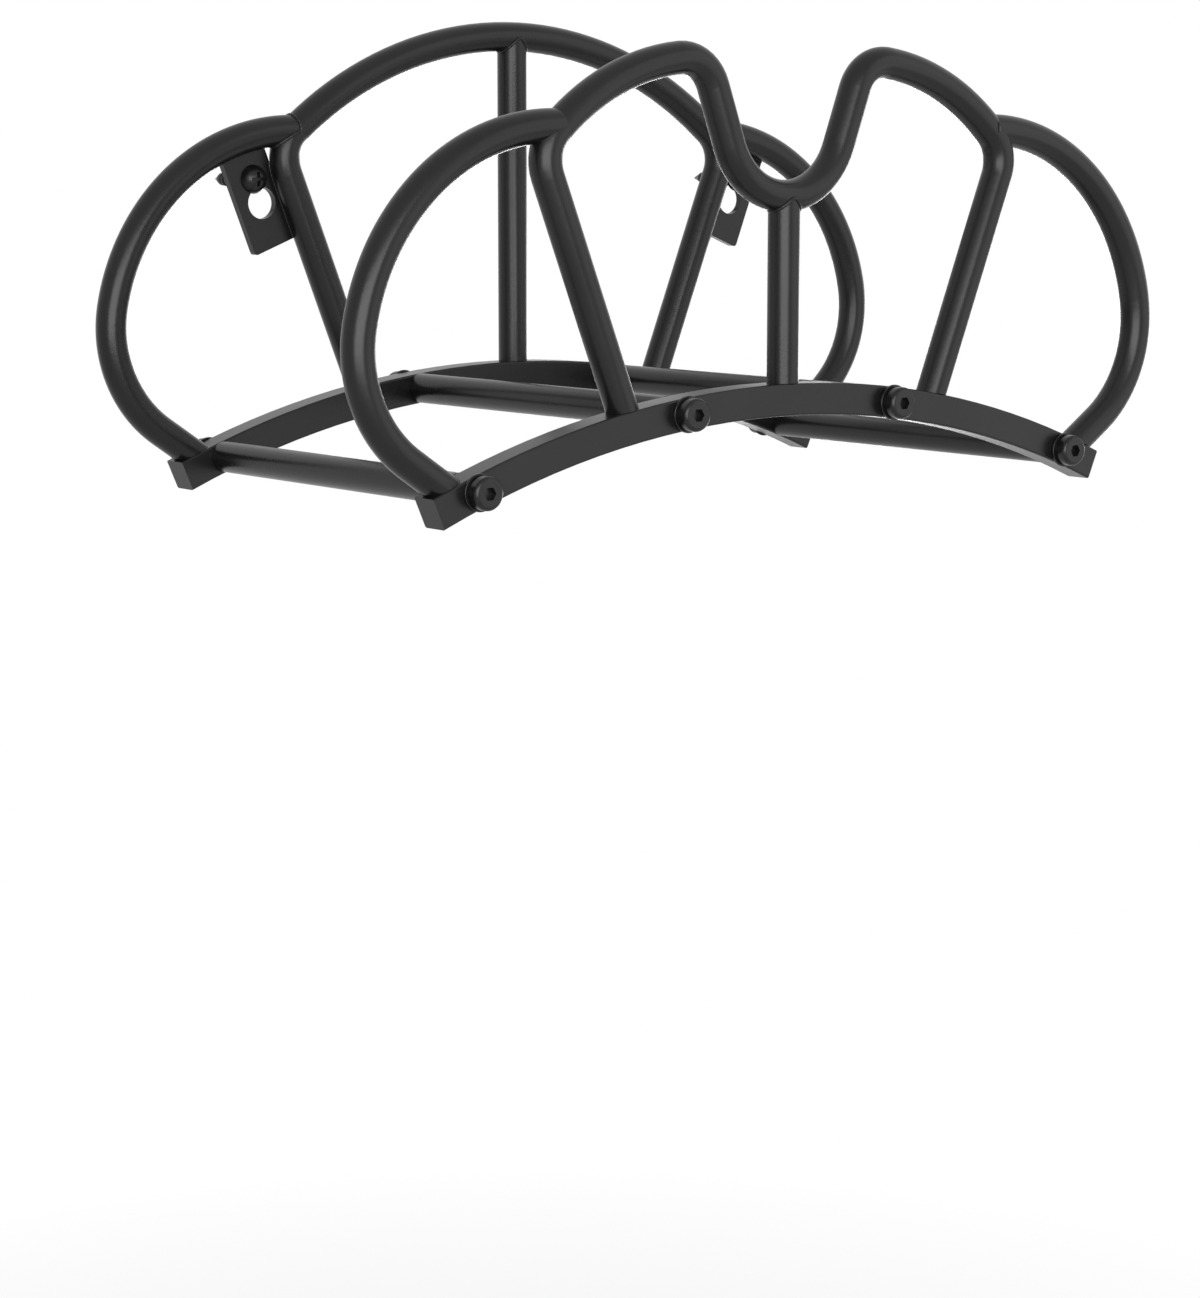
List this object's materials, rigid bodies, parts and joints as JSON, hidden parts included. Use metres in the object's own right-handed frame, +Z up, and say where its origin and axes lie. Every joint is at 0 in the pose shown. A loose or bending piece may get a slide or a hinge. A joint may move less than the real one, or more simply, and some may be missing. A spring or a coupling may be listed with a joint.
{
  "type": "hose hanger",
  "caption": "Wall-mounted hose hanger of bent steel tube: a scalloped front frame and an arched back frame on curved bars, tied by cross tubes that carry a coiled hose.",
  "frame": {"origin": "on the wall's face, midway between the two wall screws", "axes": "+X along the wall to the right as seen from the front, +Y into the wall along the screws, +Z up"},
  "size_m": [0.3866, 0.2194, 0.1829],
  "materials": {
    "powder_coat": "satin black powder coat",
    "black_hardware": "satin black oxide",
    "plug_steel": "plain turned steel",
    "screw_steel": "black coated steel"
  },
  "bodies": {
    "root": {"front_rail": "powder_coat", "front_crown": "powder_coat", "front_left_lobe": "powder_coat", "front_right_lobe": "powder_coat", "front_centre_post": "powder_coat", "back_rail": "powder_coat", "back_arch": "powder_coat", "back_left_lobe": "powder_coat", "back_right_lobe": "powder_coat", "back_centre_post": "powder_coat", "left_wall_tab": "powder_coat", "right_wall_tab": "powder_coat", "outer_left_tie_tube": "powder_coat", "inner_left_tie_tube": "powder_coat", "inner_right_tie_tube": "powder_coat", "outer_right_tie_tube": "powder_coat", "threaded_plugs": "plug_steel", "tie_bolts": "black_hardware", "flat_washers": "black_hardware", "lock_washers": "black_hardware", "wall_screws": "screw_steel"}
  },
  "joints": []
}
